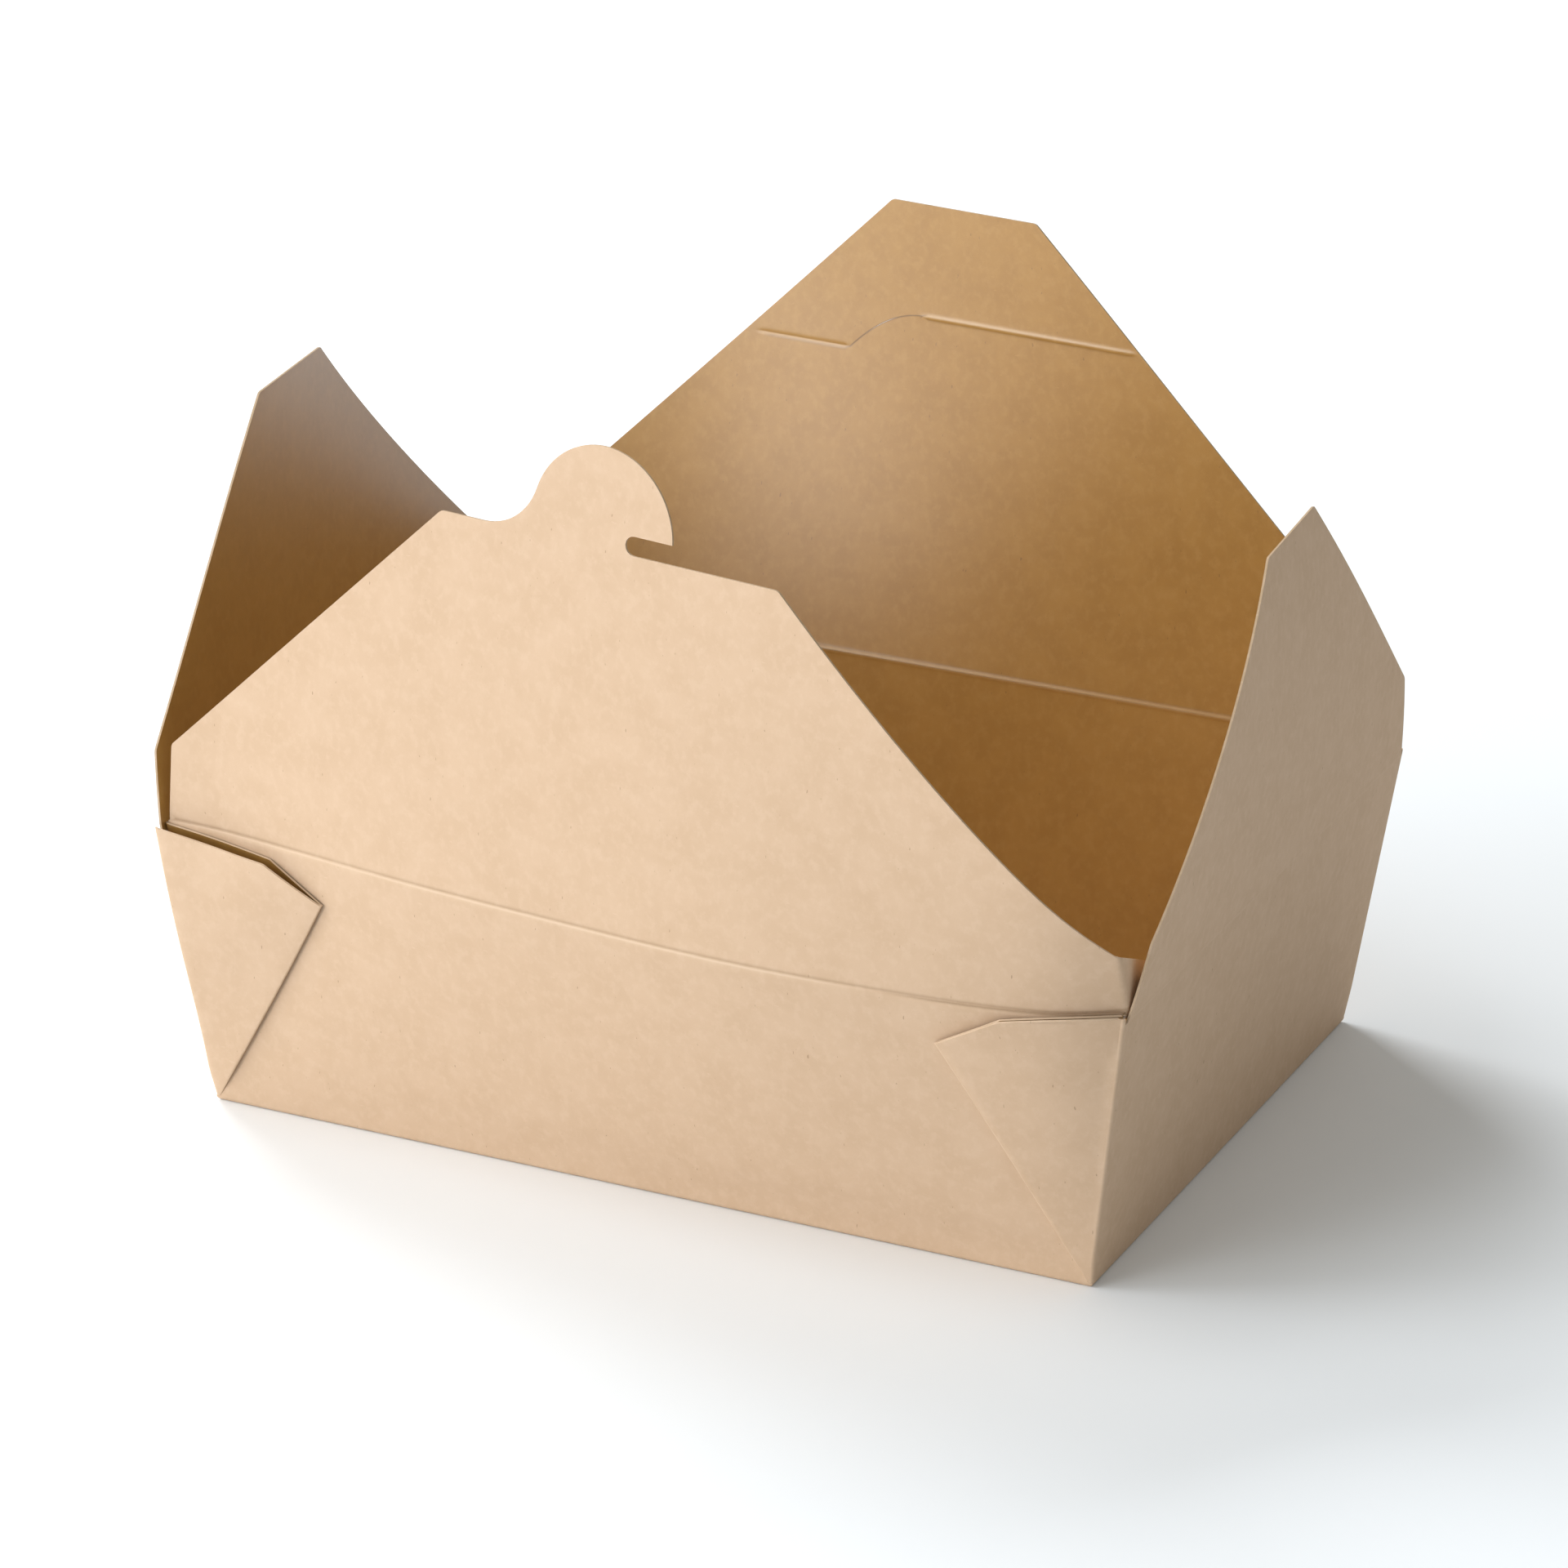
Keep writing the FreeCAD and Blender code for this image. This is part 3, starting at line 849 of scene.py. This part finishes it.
def noise(tree, coords, scale, detail, roughness, stretch=None, turn=0.0):
    """Noise over the flat sheet, stretched and turned if asked."""
    source = coords
    if stretch:
        mapping = node(tree, "ShaderNodeMapping")
        mapping.inputs["Scale"].default_value = (stretch[0], stretch[1], 1.0)
        mapping.inputs["Rotation"].default_value = (0, 0, math.radians(turn))
        tree.links.new(coords, mapping.inputs["Vector"])
        source = mapping.outputs["Vector"]
    made = node(tree, "ShaderNodeTexNoise")
    made.inputs["Scale"].default_value = scale
    made.inputs["Detail"].default_value = detail
    made.inputs["Roughness"].default_value = roughness
    tree.links.new(source, made.inputs["Vector"])
    return made.outputs["Fac"]


def ramp(tree, factor, low, high):
    """Factor stretched so that low becomes 0 and high becomes 1."""
    made = node(tree, "ShaderNodeMapRange")
    made.interpolation_type = "SMOOTHSTEP"
    made.inputs["From Min"].default_value = low
    made.inputs["From Max"].default_value = high
    tree.links.new(factor, made.inputs["Value"])
    return made.outputs["Result"]


def mix(tree, factor, a, b):
    """Colour between a and b."""
    made = node(tree, "ShaderNodeMix", data_type="RGBA")
    tree.links.new(factor, made.inputs["Factor"])
    for value, socket in ((a, made.inputs["A"]), (b, made.inputs["B"])):
        if isinstance(value, tuple):
            socket.default_value = (*value, 1.0)
        else:
            tree.links.new(value, socket)
    return made.outputs["Result"]


def math_node(tree, operation, a, b):
    """Sum, product or other simple function of two factors."""
    made = node(tree, "ShaderNodeMath", operation=operation)
    for value, socket in zip((a, b), made.inputs):
        if isinstance(value, (int, float)):
            socket.default_value = value
        else:
            tree.links.new(value, socket)
    return made.outputs["Value"]


def share(tree, factor, strength):
    """Factor times a strength."""
    return math_node(tree, "MULTIPLY", factor, strength)


def dark_fibres(tree, uv):
    """Factor of the sparse dark fibres, which lie in three directions."""
    fibres = None
    for turn, scale, low in DARK_FIBRES:
        fibre = ramp(tree, noise(tree, uv, scale, 1.0, 0.5, FIBRE_STRETCH, turn), low, low + 0.03)
        fibres = fibre if fibres is None else math_node(tree, "MAXIMUM", fibres, fibre)
    return fibres


def board_bump(tree, grain, mottle, fibres):
    """Fine relief of the board."""
    bump = node(tree, "ShaderNodeBump")
    bump.inputs["Strength"].default_value = BUMP_STRENGTH
    bump.inputs["Distance"].default_value = BUMP_DISTANCE
    height = math_node(tree, "ADD", share(tree, grain, 0.5), mottle)
    height = math_node(tree, "SUBTRACT", height, share(tree, fibres, 0.6))
    tree.links.new(height, bump.inputs["Height"])
    return bump.outputs["Normal"]


def kraft(name, tone, roughness, specular, coat=0.0):
    """Kraft paperboard: cloudy pulp, fine grain, sparse dark and pale fibres, and the wear,
    painted highlights and painted shade carried by its point attribute.
    """
    material = bpy.data.materials.new(name)
    material.use_nodes = True
    tree = material.node_tree
    shader = tree.nodes["Principled BSDF"]
    uv = node(tree, "ShaderNodeUVMap", uv_map="sheet").outputs["UV"]
    cloud = noise(tree, uv, *CLOUD)
    mottle = noise(tree, uv, *MOTTLE)
    grain = noise(tree, uv, *GRAIN)
    fibres = dark_fibres(tree, uv)
    pale = ramp(tree, noise(tree, uv, *PALE_FIBRE), 0.745, 0.79)
    wear_and_painted_light = node(tree, "ShaderNodeAttribute", attribute_name="wear_and_painted_light").outputs["Fac"]
    colour = mix(tree, ramp(tree, cloud, 0.34, 0.66), tone["dark"], tone["base"])
    # The point attribute's positive values mix in the pale colour of wear and painted highlight,
    # its negative values the dark colour of painted shade
    for factor, strength, over in ((ramp(tree, mottle, 0.42, 0.72), 0.55, "light"),
                                   (ramp(tree, grain, 0.45, 0.75), 0.22, "dark"),
                                   (fibres, 0.6, "fleck"), (pale, 0.55, "light"),
                                   (wear_and_painted_light, 0.7, "pressed"), (wear_and_painted_light, -0.9, "painted_shade")):
        colour = mix(tree, share(tree, factor, strength), colour, tone[over])
    tree.links.new(colour, shader.inputs["Base Color"])
    rough = node(tree, "ShaderNodeMapRange")
    rough.inputs["To Min"].default_value = roughness - ROUGHNESS_SPREAD
    rough.inputs["To Max"].default_value = roughness + ROUGHNESS_SPREAD
    tree.links.new(mottle, rough.inputs["Value"])
    tree.links.new(rough.outputs["Result"], shader.inputs["Roughness"])
    shader.inputs["Specular IOR Level"].default_value = specular
    shader.inputs["Coat Weight"].default_value = coat
    shader.inputs["Coat Roughness"].default_value = COAT_ROUGHNESS
    tree.links.new(board_bump(tree, grain, mottle, fibres), shader.inputs["Normal"])
    return material


def light(name, azimuth, elevation, distance, size, power):
    """Soft rectangular studio light; azimuth is seen from above, from the front to the right."""
    azimuth, elevation = math.radians(azimuth), math.radians(elevation)
    location = distance * Vector((math.sin(azimuth) * math.cos(elevation),
                                  -math.cos(azimuth) * math.cos(elevation), math.sin(elevation)))
    data = bpy.data.lights.new(name, "AREA")
    data.size = size
    data.energy = power
    obj = bpy.data.objects.new(name, data)
    bpy.context.scene.collection.objects.link(obj)
    obj.location = location
    obj.rotation_euler = (Vector(LIGHT_TARGET) - location).to_track_quat("-Z", "Y").to_euler()


def camera():
    """Camera of the photograph: direction, roll, distance and focal length."""
    azimuth = math.radians(CAMERA_AZIMUTH)
    elevation = math.radians(CAMERA_ELEVATION)
    roll = math.radians(CAMERA_ROLL)
    back = Vector((math.sin(azimuth) * math.cos(elevation),
                   -math.cos(azimuth) * math.cos(elevation), math.sin(elevation)))
    right = Vector((math.cos(azimuth), math.sin(azimuth), 0))
    up = back.cross(right)
    turned_right = right * math.cos(roll) + up * math.sin(roll)
    turned_up = up * math.cos(roll) - right * math.sin(roll)
    data = bpy.data.cameras.new("camera")
    data.sensor_width = CAMERA_SENSOR
    data.lens = CAMERA_LENS
    obj = bpy.data.objects.new("camera", data)
    bpy.context.scene.collection.objects.link(obj)
    location = (turned_right * -CAMERA_ASIDE + turned_up * CAMERA_BELOW
                + back * CAMERA_DISTANCE)
    rotation = Matrix((turned_right, turned_up, back)).transposed()
    obj.matrix_world = Matrix.Translation(location) @ rotation.to_4x4()
    bpy.context.scene.camera = obj


def floor():
    """Plain white floor."""
    mesh = bpy.data.meshes.new("floor")
    half = FLOOR_HALF
    mesh.from_pydata([(-half, -half, 0), (half, -half, 0), (half, half, 0), (-half, half, 0)],
                     [], [(0, 1, 2, 3)])
    material = bpy.data.materials.new("floor")
    material.use_nodes = True
    shader = material.node_tree.nodes["Principled BSDF"]
    shader.inputs["Base Color"].default_value = FLOOR_COLOUR
    shader.inputs["Roughness"].default_value = 0.9
    shader.inputs["Specular IOR Level"].default_value = 0.0
    mesh.materials.append(material)
    obj = bpy.data.objects.new("floor", mesh)
    bpy.context.scene.collection.objects.link(obj)


def studio():
    """White surroundings and the soft lights, most of them on the left."""
    world = bpy.data.worlds.new("studio")
    world.use_nodes = True
    background = world.node_tree.nodes["Background"]
    background.inputs["Color"].default_value = WORLD_COLOUR
    background.inputs["Strength"].default_value = WORLD_STRENGTH
    bpy.context.scene.world = world
    for name, settings in LIGHTS.items():
        light(name, *settings)
    bpy.context.scene.view_settings.view_transform = "Standard"


outside = kraft("kraft_outside", OUTSIDE, roughness=0.65, specular=0.05)
lining = kraft("kraft_lining", LINING, roughness=0.42, specular=0.8, coat=1.0)
# Cut edges: darkened as painted shade on the flaps, paler as painted highlight on the tray
flap_edge_painted_shade = kraft("kraft_flap_edge_painted_shade", FLAP_EDGE_PAINTED_SHADE, roughness=0.8, specular=0.1)
tray_edge_painted_highlight = kraft("kraft_tray_edge_painted_highlight", TRAY_EDGE_PAINTED_HIGHLIGHT, roughness=0.8, specular=0.1)
flap_faces = (outside, lining, flap_edge_painted_shade)
tray_faces = (outside, lining, tray_edge_painted_highlight)

front_wall = LongWall(FRONT_CREASE, front_bulge, WEB_FRONT_LEFT, WEB_FRONT_RIGHT)
back_wall = LongWall(BACK_CREASE, lambda place: np.zeros(np.shape(place)), WEB_PLAIN, WEB_PLAIN)
long_out = LONG_HALF + LONG_FLARE
end_out = END_HALF + END_FLARE

tray_sheet = tray(front_wall, back_wall, tray_faces)
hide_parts("box_body")
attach(tray_sheet, "root")

slit_marks = ((LOW_LINE_END, SLIT_START + LINE_GAP, SLIT_LOW, LOW_LINE_HEIGHT),
              (SLIT_FINISH - LINE_GAP, HIGH_LINE_END, SLIT_HIGH, HIGH_LINE_HEIGHT))
long_half = (LONG_BASE, LONG_SHOULDER)
short_half = (END_BASE, END_SHOULDER)
flaps = (
    (Flap("front_flap_board", long_half, FRONT_SHOULDERS, FRONT_TOP, FRONT_HEIGHT, FRONT_POSE,
          long_out, FRONT_CREASE, 0, bulge=front_bulge, ear_deep=EAR_DEEP),
     hook_outline(FRONT_HEIGHT, FRONT_TOP), (), "front_flap"),
    (Flap("back_flap_board", long_half, BACK_SHOULDERS, BACK_TOP, BACK_HEIGHT, BACK_POSE,
          long_out, BACK_CREASE, 180, marks=slit_marks),
     None, (slit_outline(SLIT_WIDTH),), "back_flap"),
    (Flap("left_flap_board", short_half, LEFT_SHOULDERS, END_TOP, END_HEIGHT, LEFT_POSE,
          end_out, END_CREASE, -90),
     None, (), "left_flap"),
    (Flap("right_flap_board", short_half, RIGHT_SHOULDERS, END_TOP, END_HEIGHT, RIGHT_POSE,
          end_out, END_CREASE, 90, crease_bead=END_BEAD[1]),
     None, (), "right_flap"))
for flap, free_edge, holes, body in flaps:
    piece = flap_piece(flap, flap_faces, free_edge, holes)
    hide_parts(body)
    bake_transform(piece)

floor()
studio()
camera()
